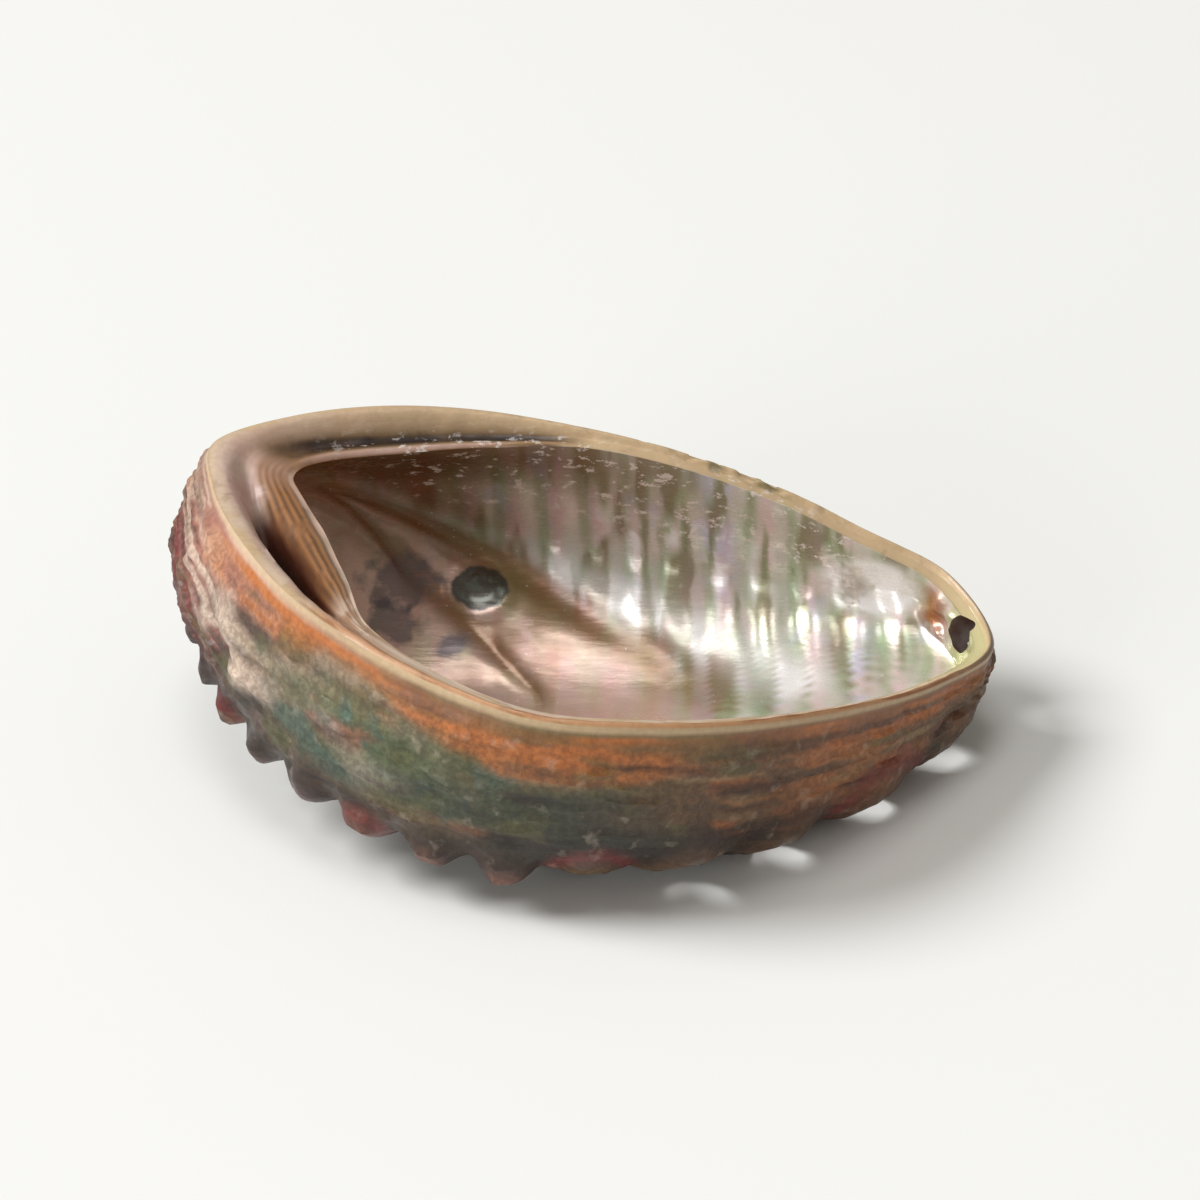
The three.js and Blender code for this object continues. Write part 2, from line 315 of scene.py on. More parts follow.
def spotAway(p):
    away = p - np.array([closedSpot["x"], closedSpot["y"], closedSpot["z"]])
    return np.linalg.norm(away * np.array([1.0, 1.2, 1.2]), axis=-1) / closedSpot["across"]


def bowlRelief(t, depth, p):
    one, above = foldShare(foldOne, t, depth, 0.034)
    two, _ = foldShare(foldTwo, t, depth, 0.03)
    wobble = mottle(p, 9.0, 61, 3) - 0.5
    phase = p[..., 0] / innerRelief["waveLength"] + 0.6 * wobble - 0.35 * depth
    waves = np.sin(2 * math.pi * phase) * innerRelief["waveHeight"]
    where = between(t, 0.8, 6.3, 0.7) * (1 - ramp(above, -0.12, -0.01)) * ramp(depth, 0.02, 0.16)
    h = waves * where * (0.6 + 0.8 * grain(p, 11.0, 64))
    h = h + innerRelief["foldHeight"] * (one + 0.8 * two)
    h = h + (mottle(p, 4.5, 71, 2) - 0.5) * innerRelief["lumps"] * 2
    spot = spotAway(p)
    h = h + 0.3 * band(spot, 1.15, 0.22) - 0.35 * (1 - ramp(spot, 0.4, 1.0))
    tip = stationBand(t, 19.75, 0.55) * between(depth, 0.0, 0.3, 0.08)
    h = h + 0.35 * tip
    knobs = stationBand(t, 0.75, 0.4) * between(depth, 0.0, 0.26, 0.05)
    return h + knobs * (grain(p, 1.3, 67) - 0.4) * 1.5


def shelfRelief(t, share, p):
    pitSide = stationBand(t, 11.4, 1.7)
    lines = np.sin(2 * math.pi * (share * 11 + 0.5 * mottle(p, 5.0, 81, 2))) * 0.12
    h = lines * pitSide * ramp(share, 0.08, 0.2)
    h = h + (mottle(p, 3.0, 91) - 0.5) * 0.35 * ramp(share, 0.0, 0.3)
    far = between(t, 5.2, 8.6, 0.3)
    h = h - 0.55 * far * band(share, 0.62, 0.12) + 0.25 * far * band(share, 0.9, 0.08)
    chips = between(t, 2.8, 4.3, 0.2) * (1 - ramp(share, 0.1, 0.5))
    h = h - 0.7 * chips * ramp(grain(p, 0.9, 95), 0.45, 0.7)
    return h


# Colours, as ordinary screen values from 0 to 1

paints = {
    "crust": (0.44, 0.31, 0.20), "rimTan": (0.80, 0.69, 0.54), "orange": (0.72, 0.42, 0.19),
    "cream": (0.86, 0.77, 0.69), "straw": (0.70, 0.60, 0.42), "rose": (0.72, 0.50, 0.47),
    "moss": (0.33, 0.37, 0.24), "olive": (0.36, 0.35, 0.19), "teal": (0.28, 0.40, 0.36),
    "darkTeal": (0.13, 0.21, 0.18), "umber": (0.14, 0.08, 0.055), "crimson": (0.52, 0.13, 0.13),
    "tubercleTop": (0.60, 0.40, 0.33), "holeWall": (0.30, 0.16, 0.09), "silver": (0.82, 0.79, 0.74),
    "mauve": (0.83, 0.68, 0.60), "oliveFold": (0.50, 0.36, 0.19), "paintedShadeBrown": (0.45, 0.31, 0.18),
    "pitBrown": (0.30, 0.13, 0.05), "gold": (0.64, 0.43, 0.24), "shelfPink": (0.80, 0.66, 0.61),
    "grooveBrown": (0.22, 0.14, 0.08), "tipYellow": (0.80, 0.77, 0.57), "pinkShine": (0.88, 0.77, 0.76),
    "greenShine": (0.64, 0.68, 0.54), "lilacShine": (0.78, 0.76, 0.84), "glint": (1.0, 0.99, 0.98),
    "maroon": (0.36, 0.13, 0.11),
}


def paint(name):
    c = np.array(paints[name])
    return np.where(c <= 0.04045, c / 12.92, ((c + 0.055) / 1.055) ** 2.4)


def lay(base, name, amount):
    a = np.clip(amount, 0, 1)[..., None]
    return base * (1 - a) + paint(name) * a


def backColours(t, level, p):
    patch = streaks(t, level, 0.9, 0.085, 101)
    patchTwo = streaks(t, level, 0.55, 0.05, 111)
    lines = streaks(t, level + 0.03 * patch, 0.9, 0.03, 115, 2)
    spots = mottle(p, 2.4, 121, 3)
    c = np.broadcast_to(paint("crust"), p.shape).copy()
    c = lay(c, "olive", ramp(patch, 0.44, 0.58) * 0.75)
    c = lay(c, "orange", ramp(patchTwo, 0.52, 0.66) * between(level, 0.1, 0.5, 0.08) * 0.6)
    c = lay(c, "straw", ramp(lines, 0.55, 0.75) * 0.45 * (1 - ramp(level, 0.35, 0.6)))
    left = stationBand(t, 11.0, 1.7) * (1 - ramp(level, 0.26, 0.48))
    c = lay(c, "rose", left * 0.7)
    c = lay(c, "cream", left * ramp(lines, 0.42, 0.56) * 0.85)
    redEnd = stationBand(t, 10.3, 1.9) * between(level, 0.28, 0.66, 0.08)
    c = lay(c, "crimson", redEnd * ramp(patch, 0.36, 0.52))
    middle = stationBand(t, 13.6, 1.7)
    c = lay(c, "moss", middle * between(level, 0.15, 0.4, 0.06) * ramp(patch, 0.36, 0.52))
    c = lay(c, "teal", middle * ramp(spots, 0.58, 0.68) * between(level, 0.15, 0.5, 0.05) * 0.7)
    darkEnd = stationBand(t, 15.7, 1.3) * between(level, 0.2, 0.5, 0.06)
    c = lay(c, "darkTeal", darkEnd * ramp(patch, 0.3, 0.5) * 0.9)
    blueEnd = stationBand(t, 12.6, 1.8) * between(level, 0.25, 0.5, 0.06)
    c = lay(c, "teal", blueEnd * ramp(patchTwo, 0.5, 0.62) * 0.7)
    warmEnd = stationBand(t, 17.9, 1.5) * between(level, 0.12, 0.36, 0.06)
    c = lay(c, "orange", warmEnd * ramp(patch, 0.38, 0.58) * 0.7)
    c = lay(c, "umber", ramp(level, 0.24, 0.5) * (0.5 + 0.6 * patch))
    c = lay(c, "darkTeal", ramp(level, 0.42, 0.6) * ramp(patchTwo, 0.52, 0.64) * 0.7)
    c = lay(c, "umber", ramp(lines, 0.42, 0.3) * 0.55 * ramp(level, 0.1, 0.25))
    wide = 0.05 + 0.1 * ramp(streaks(t, level * 0.2, 1.6, 1.0, 118, 2), 0.3, 0.7)
    hot = (1 - ramp(level, wide, wide + 0.05)) * ramp(level, 0.02, 0.045) * between(t, 10.6, 19.6, 0.8)
    c = lay(c, "orange", hot * (0.3 + 0.7 * ramp(lines, 0.35, 0.6)))
    c = lay(c, "umber", ramp(lines, 0.4, 0.26) * 0.55 * ramp(level, 0.03, 0.1))
    c = lay(c, "olive", ramp(patchTwo, 0.42, 0.3) * 0.6 * ramp(level, 0.05, 0.12))
    knob = np.clip(grain(np.stack([t * 2.6, level * 13, 0 * t], -1), 1.0, 52) - 0.55, 0, 1) * 4.5
    c = lay(c, "cream", stationBand(t, 12.0, 1.3) * between(level, 0.12, 0.36, 0.04) * knob * 0.5)
    places, normals, sizes = tubercles()
    for n in range(len(places)):
        away = np.linalg.norm(p - places[n], axis=-1)
        reach = holeRow["open"][n] * 1.15 if n < len(holeRow["open"]) else 0.0
        top = np.exp(-(np.clip(away - reach, 0, None) / (0.24 * sizes[n])) ** 2)
        c = lay(c, "crust" if n < 5 else "tubercleTop" if n < 8 else "maroon", top * 0.7)
        skirt = np.exp(-((away - reach - 0.32 * sizes[n]) / (0.11 * sizes[n])) ** 2)
        c = lay(c, "crimson" if n % 3 == 1 else "umber", skirt * 0.55)
    c = lay(c, "rimTan", (1 - ramp(level, 0.012, 0.035)) * (0.7 + 0.3 * patch))
    return c


def bowlColours(t, depth, p):
    soft = mottle(p, 8.0, 141)
    small = mottle(p, 3.0, 151)
    one, above = foldShare(foldOne, t, depth, 0.055)
    two, _ = foldShare(foldTwo, t, depth, 0.034)
    thin = streaks(above * 30 + 3 * soft, t * 0.04, 1.0, 0.06, 165, 2)
    c = np.broadcast_to(paint("silver"), p.shape).copy()
    phase = p[..., 0] / innerRelief["waveLength"] + 0.6 * (mottle(p, 9.0, 61, 3) - 0.5) - 0.35 * depth
    c = lay(c, "pinkShine", ramp(np.sin(2 * math.pi * phase + 0.6), 0.2, 1.0) * 0.75)
    c = lay(c, "greenShine", ramp(np.sin(2 * math.pi * phase + 2.9), 0.3, 1.0) * 0.7)
    c = lay(c, "lilacShine", ramp(mottle(p, 5.0, 161), 0.5, 0.68) * 0.7)
    farWall = between(t, 0.5, 8.8, 0.3)
    leftSide = 1 - ramp(p[..., 0], -19, -3)
    comb = mottle(np.stack([p[..., 0] + 2 * soft, depth * 7, 0 * t], -1), 1.5, 145, 2)
    groups = 0.5 + 0.5 * np.sin(2 * math.pi * phase + 1.2)
    # painted shade: greenish and brown streaks between the bright streaks of the fine folds on the far
    # wall
    c = lay(c, "greenShine", farWall * ramp(comb, 0.5, 0.36) * (0.45 + 0.4 * groups))
    c = lay(c, "paintedShadeBrown", farWall * ramp(comb, 0.42, 0.28) * 0.5)
    # painted shade in brown: the far wall's left side above the first fold, and the top of the far wall
    # just below the shelf
    c = lay(c, "paintedShadeBrown", farWall * (1 - ramp(above, -0.14, 0.0)) * leftSide * (0.7 + 0.5 * soft))
    c = lay(c, "paintedShadeBrown", farWall * (1 - ramp(depth, 0.03, 0.2)) * 0.75 * (1 - ramp(p[..., 0], -6, 14)))
    floor = np.maximum(ramp(above, 0.0, 0.05) * farWall, 1 - farWall)
    c = lay(c, "mauve", floor * (0.55 + 0.5 * soft) * (1 - ramp(p[..., 0], 6, 24)))
    # olive-brown bands along the two folds: partly the pearl's own colour, partly painted dark reflection
    # in the folds
    c = lay(c, "oliveFold", np.minimum(one * 1.3, 1) * 0.95 * (1 - 0.6 * ramp(p[..., 0], 6, 20)))
    c = lay(c, "oliveFold", two * 0.85)
    fan = farWall * between(above, -0.02, 0.2, 0.05) * (1 - ramp(p[..., 0], -14, 8))
    c = lay(c, "oliveFold", fan * ramp(thin, 0.48, 0.62) * 0.6)
    # painted highlights in white: a strip above the first fold, flecks on the upper waves, a patch at the
    # front of the bowl and flecks at the foot of the tip
    highlightStrip = band(above, -0.07, 0.045) * between(t, 0.9, 5.4, 0.4)
    upperHighlights = between(p[..., 0], 2, 22, 4) * between(depth, 0.14, 0.4, 0.06) * farWall
    c = lay(c, "glint", highlightStrip * (0.35 + 0.8 * ramp(comb, 0.42, 0.56)))
    c = lay(c, "glint", upperHighlights * groups * ramp(comb, 0.46, 0.6) * ramp(small, 0.4, 0.5) * 0.9)
    front = np.exp(-(((p[..., 0] - 31.5) / 5.5) ** 2 + ((p[..., 2] - 12.5) / 3.2) ** 2)) * farWall
    c = lay(c, "glint", ramp(front, 0.2, 0.7) * (0.3 + 1.1 * ramp(small, 0.34, 0.52)))
    tipHighlight = between(t, 19.6, 20.0, 0.2) * between(depth, 0.3, 0.45, 0.05)
    c = lay(c, "glint", tipHighlight * ramp(small, 0.4, 0.5))
    start = np.exp(-(((p[..., 0] + 31) / 5) ** 2 + ((p[..., 1] - 12) / 7) ** 2))
    c = lay(c, "gold", start * (0.4 + 0.5 * small))
    near = between(t, 12.8, 19.4, 0.4) * (1 - ramp(depth, 0.0, 0.08))
    c = lay(c, "rimTan", near)
    tip = np.minimum(stationBand(t, 19.9, 0.75) * 1.4, 1) * (1 - ramp(depth, 0.3, 0.46))
    c = lay(c, "tipYellow", tip)
    tornEdge = stationBand(t, 0.95, 0.22) * between(depth, 0.02, 0.3, 0.05)
    c = lay(c, "gold", tornEdge * ramp(small, 0.35, 0.5))
    return c


def shelfColours(t, share, p):
    soft = mottle(p, 5.0, 181)
    small = mottle(p, 2.0, 191)
    c = np.broadcast_to(paint("rimTan"), p.shape).copy()
    leftSide = np.minimum(stationBand(t, 10.6, 2.4) * 1.3, 1)
    c = lay(c, "shelfPink", leftSide * ramp(share, 0.05, 0.2))
    c = lay(c, "cream", leftSide * ramp(soft, 0.45, 0.6) * 0.6)
    right = np.minimum(stationBand(t, 10.9, 1.9) * 1.4, 1) * between(share, 0.56, 0.97, 0.05)
    c = lay(c, "gold", right * 0.95)
    c = lay(c, "grooveBrown", right * (0.3 + 0.45 * np.sin(share * 80 + 6 * soft)))
    pit = stationBand(t, 11.3, 1.35) * band(share, 0.46, np.where(share < 0.46, 0.13, 0.21))
    c = lay(c, "pitBrown", ramp(pit, 0.2, 0.55))
    c = lay(c, "umber", ramp(pit, 0.5, 0.95) * 0.8)
    c = lay(c, "cream", leftSide * between(share, 0.93, 1.0, 0.02) * 0.6)
    far = between(t, 5.2, 8.7, 0.35)
    c = lay(c, "oliveFold", far * ramp(share, 0.3, 0.45) * 0.8)
    groove = far * between(share, 0.42, 0.84, 0.07) * (1 - 0.6 * ramp(t, 7.9, 8.6))
    c = lay(c, "umber", groove * (0.8 + 0.3 * small))
    c = lay(c, "shelfPink", between(t, 6.0, 8.3, 0.4) * ramp(share, 0.84, 0.92) * (0.4 + 0.8 * small))
    edge = streaks(t, share * 3, 0.5, 0.5, 195)
    nearEdge = between(t, 12.4, 19.5, 0.4)
    c = lay(c, "crust", nearEdge * ramp(edge, 0.5, 0.62) * (1 - ramp(share, 0.4, 0.8)) * 0.8)
    c = lay(c, "cream", nearEdge * ramp(share, 0.45, 0.8) * ramp(edge, 0.56, 0.4))
    chipped = between(t, 2.9, 4.2, 0.15) * band(share, 0.3, 0.25)
    c = lay(c, "olive", chipped * ramp(small, 0.45, 0.6) * 0.7)
    c = lay(c, "tipYellow", stationBand(t, 19.9, 0.8) * ramp(share, 0.2, 0.6))
    c = lay(c, "umber", stationBand(t, 19.9, 0.9) * (1 - ramp(share, 0.1, 0.35)) * 0.7)
    c = lay(c, "orange", between(t, 12.6, 19.4, 0.5) * (1 - ramp(share, 0.1, 0.6)) * 0.5)
    c = lay(c, "umber", ramp(small, 0.66, 0.76) * 0.25)
    return c


# Mesh

def meshObject(name, points, faces, layers):
    mesh = bpy.data.meshes.new(name)
    mesh.from_pydata(points.tolist(), [], faces)
    mesh.validate()
    corner = np.zeros(len(mesh.loops), np.int32)
    mesh.loops.foreach_get("vertex_index", corner)
    for key, values in layers.items():
        kind = "FLOAT_COLOR" if values.ndim == 2 else "FLOAT"
        layer = mesh.attributes.new(key, kind, "CORNER")
        if values.ndim == 2:
            rgba = np.concatenate([values, np.ones((len(values), 1))], 1)
            layer.data.foreach_set("color", rgba[corner].astype(np.float32).ravel())
        else:
            layer.data.foreach_set("value", values[corner].astype(np.float32))
    piece = bpy.data.objects.new(name, mesh)
    bpy.context.scene.collection.objects.link(piece)
    return piece


def gridNormals(grid):
    alongT = np.roll(grid, -1, 1) - np.roll(grid, 1, 1)
    alongR = np.gradient(grid, axis=0)
    return unit(np.cross(alongT, alongR))


def shellGrid():
    t = np.arange(shell["columns"]) * stationCount / shell["columns"]
    depth = (np.arange(1, shell["innerRows"] + 1) / (shell["innerRows"] + 1))[::-1]
    share = (np.arange(1, shell["shelfRows"] + 1) / (shell["shelfRows"] + 1))[::-1]
    level = np.arange(shell["outerRows"]) / shell["outerRows"]
    tA, dA = np.meshgrid(t, np.append(depth ** 1.1, 0.0))
    tB, sB = np.meshgrid(t, share)
    tC, lC = np.meshgrid(t, level)
    bowl, shelf, back = innerPoint(tA, dA), shelfPoint(tB, sB), outerPoint(tC, lC)
    plain = np.concatenate([bowl, shelf, back])
    normals = gridNormals(plain)
    outer = outerNormal(tC, lC)
    if (normals[-20] * outer[-20]).sum() < 0:
        normals = -normals
    height = np.concatenate([
        bowlRelief(tA, dA, bowl) * ramp(1 - dA, 0.0, 0.15),
        shelfRelief(tB, sB, shelf),
        backRelief(tC, lC, back),
    ])
    moved = plain + normals * height[..., None]
    colours = np.concatenate([
        bowlColours(tA, dA, bowl), shelfColours(tB, sB, shelf), backColours(tC, lC, back),
    ])
    pearl = np.concatenate([
        ramp(dA, 0.0, 0.04),
        0.35 * ramp(sB, 0.75, 1.0) + 0.1,
        0.0 * lC,
    ])
    gloss = np.concatenate([
        0.55 + 0.0 * dA,
        0.25 + 0.6 * stationBand(tB, 11.5, 1.3) * band(sB, 0.47, 0.2),
        0.12 + 0.4 * ramp(lC, 0.3, 0.5) * ramp(mottle(back, 4.0, 201), 0.5, 0.62),
    ])
    crust = np.concatenate([
        0.0 * dA,
        0.15 * (1 - ramp(sB, 0.1, 0.8)),
        0.15 + 0.45 * ramp(lC, 0.0, 0.12),
    ])
    offPatch = bowl - np.array(rubbedPatch["place"])
    rubbed = np.exp(-(offPatch ** 2).sum(-1) / rubbedPatch["spread"])
    scuff = np.concatenate([
        between(tA, 1.5, 7.6, 0.8) * (1 - ramp(dA, 0.1, 0.34)) + 0.7 * rubbed,
        0.7 * between(tB, 2.5, 7.6, 0.6) * ramp(sB, 0.2, 0.7),
        0.0 * lC,
    ])
    return moved, colours, pearl, gloss, crust, scuff


def gridFaces(rows, columns):
    faces = []
    for r in range(rows - 1):
        for k in range(columns):
            n = (k + 1) % columns
            faces.append((r * columns + k, r * columns + n, (r + 1) * columns + n, (r + 1) * columns + k))
    first, last = rows * columns, rows * columns + 1
    for k in range(columns):
        n = (k + 1) % columns
        faces.append((first, n, k))
        faces.append((last, (rows - 1) * columns + k, (rows - 1) * columns + n))
    return faces


def buildShell():
    grid, colours, pearl, gloss, crust, scuff = shellGrid()
    rows, columns = grid.shape[:2]
    points = grid.reshape(-1, 3)
    poles = np.array([grid[0].mean(0), grid[-1].mean(0)])
    points = np.concatenate([points, poles])
    middle = [(cadBox[0][k] + cadBox[1][k]) * 500 for k in (0, 1)]
    shift = np.array([middle[k] - (points[:, k].min() + points[:, k].max()) / 2 for k in (0, 1)] + [0.0])
    points = points + shift
    points[:, 2] = np.maximum(points[:, 2], 0.0)

    def flat(values):
        return np.concatenate([values.reshape(rows * columns, -1), values[0].mean(0).reshape(1, -1),
                               values[-1].mean(0).reshape(1, -1)]).squeeze()

    layers = {"tint": flat(colours), "pearl": flat(pearl), "gloss": flat(gloss), "crust": flat(crust),
              "scuff": flat(scuff)}
    faces = gridFaces(rows, columns)
    piece = meshObject("abaloneShell", points / 1000, faces, layers)
    if signedVolume(piece.data) < 0:
        piece.data.flip_normals()
    piece.data.shade_smooth()
    print("shell mesh", len(faces), "faces, shift", shift.round(2))
    return piece, shift


def signedVolume(mesh):
    mesh.calc_loop_triangles()
    co = np.zeros(len(mesh.vertices) * 3)
    mesh.vertices.foreach_get("co", co)
    co = co.reshape(-1, 3)
    tri = np.zeros(len(mesh.loop_triangles) * 3, np.int32)
    mesh.loop_triangles.foreach_get("vertices", tri)
    a, b, c = (co[tri.reshape(-1, 3)[:, k]] for k in range(3))
    return float((a * np.cross(b, c)).sum() / 6)


def drill(shift):
    # one wavy tube for each breathing hole, and one for the newest hole at the front
    places, normals, sizes = tubercles()
    bores = [(places[n], normals[n], r) for n, r in enumerate(holeRow["open"])]
    t, level = np.array([newestHole["station"]]), np.array([newestHole["level"]])
    bores.append((outerPoint(t, level, False)[0], outerNormal(t, level)[0], newestHole["radius"]))
    points, faces = [], []
    reach, sides, rings = holeRow["boreReach"], holeRow["boreSides"], holeRow["boreRings"]
    for n, (place, straight, radius) in enumerate(bores):
        along = unit(straight + holeRow["lean"] * np.array(holeRow["leanTowards"]))
        side = unit(np.cross(along, np.array([0.0, 0.0, 1.0])))
        other = np.cross(along, side)
        start = len(points)
        for ring in range(rings):
            out = -reach + 2 * reach * ring / (rings - 1)
            for k in range(sides):
                a = 2 * math.pi * k / sides
                r = radius * (1 + 0.07 * math.sin(2 * a + n) + 0.04 * math.sin(5 * a + 2 * n + ring))
                points.append(place + along * out + r * (side * math.cos(a) + other * math.sin(a)))
        for ring in range(rings - 1):
            for k in range(sides):
                m = (k + 1) % sides
                base = start + ring * sides
                faces.append((base + k, base + m, base + sides + m, base + sides + k))
        faces.append(tuple(start + k for k in reversed(range(sides))))
        faces.append(tuple(start + (rings - 1) * sides + k for k in range(sides)))
    points = np.array(points) + shift
    amount = len(points)
    tone = paint("holeWall") + (grain(points, 1.5, 5)[:, None]) * 0.12
    plain = {"pearl": 0.1, "gloss": 0.5, "crust": 0.3, "scuff": 0.0}
    layers = {"tint": tone, **{key: np.full(amount, value) for key, value in plain.items()}}
    return meshObject("holeCutter", points / 1000, faces, layers)


def cutHoles(piece, shift):
    cutter = drill(shift)
    if signedVolume(cutter.data) < 0:
        cutter.data.flip_normals()
    cut = piece.modifiers.new("holes", "BOOLEAN")
    cut.operation = "DIFFERENCE"
    cut.solver = "EXACT"
    cut.object = cutter
    graph = bpy.context.evaluated_depsgraph_get()
    done = bpy.data.meshes.new_from_object(piece.evaluated_get(graph))
    piece.modifiers.clear()
    piece.data = done
    bpy.data.objects.remove(cutter)
    done.shade_smooth()
    done.set_sharp_from_angle(angle=math.radians(50))
    print("holes cut", len(done.polygons), "faces")


# Materials

marks = [
    ((-30.0, 14.0, 23.0), (9.0, 8.0, 8.0), 0.3, (0.34, 0.15, 0.05, 1), 0.6),
    ((-20.5, 17.0, 11.5), (4.6, 3.4, 3.6), 0.45, (0.11, 0.09, 0.09, 1), 0.75),
    ((-21.5, 14.2, 7.5), (3.6, 2.6, 3.0), 0.4, (0.07, 0.06, 0.07, 1), 0.7),
    ((-14.8, 12.2, 5.8), (2.4, 1.5, 2.0), 0.35, (0.13, 0.12, 0.18, 1), 0.7),
]
finish = {
    "pearlMetal": 0.3, "pearlRough": 0.27, "shelfRough": 0.42, "crustBump": 0.0003,
}


class NodeBench:
    # short calls for adding and joining shader nodes
    def __init__(self, material):
        material.use_nodes = True
        self.tree = material.node_tree
        self.tree.nodes.clear()

    def add(self, kind, **settings):
        node = self.tree.nodes.new(kind)
        for key, value in settings.items():
            setattr(node, key, value)
        return node

    def join(self, source, target):
        self.tree.links.new(source, target)

    def attribute(self, name, output):
        return self.add("ShaderNodeAttribute", attribute_name=name).outputs[output]

    def noise(self, scale, detail, stretch=(1, 1, 1), rough=0.55):
        place = self.add("ShaderNodeTexCoord")
        mapping = self.add("ShaderNodeMapping")
        mapping.inputs["Scale"].default_value = stretch
        self.join(place.outputs["Object"], mapping.inputs["Vector"])
        node = self.add("ShaderNodeTexNoise")
        node.inputs["Scale"].default_value = scale
        node.inputs["Detail"].default_value = detail
        node.inputs["Roughness"].default_value = rough
        self.join(mapping.outputs["Vector"], node.inputs["Vector"])
        return node

    def maths(self, operation, first, second):
        node = self.add("ShaderNodeMath", operation=operation)
        for socket, value in zip(node.inputs, (first, second)):
            if isinstance(value, (int, float)):
                socket.default_value = value
            else:
                self.join(value, socket)
        return node.outputs[0]

    def spread(self, value, low, high, toLow, toHigh):
        node = self.add("ShaderNodeMapRange")
        self.join(value, node.inputs["Value"])
        for key, number in (("From Min", low), ("From Max", high), ("To Min", toLow), ("To Max", toHigh)):
            node.inputs[key].default_value = number
        return node.outputs["Result"]

    def mixColour(self, kind, share, first, second):
        node = self.add("ShaderNodeMix", data_type="RGBA", blend_type=kind)
        for socket, value in ((node.inputs[0], share), (node.inputs[6], first), (node.inputs[7], second)):
            if isinstance(value, (int, float, tuple)):
                socket.default_value = value
            else:
                self.join(value, socket)
        return node.outputs[2]


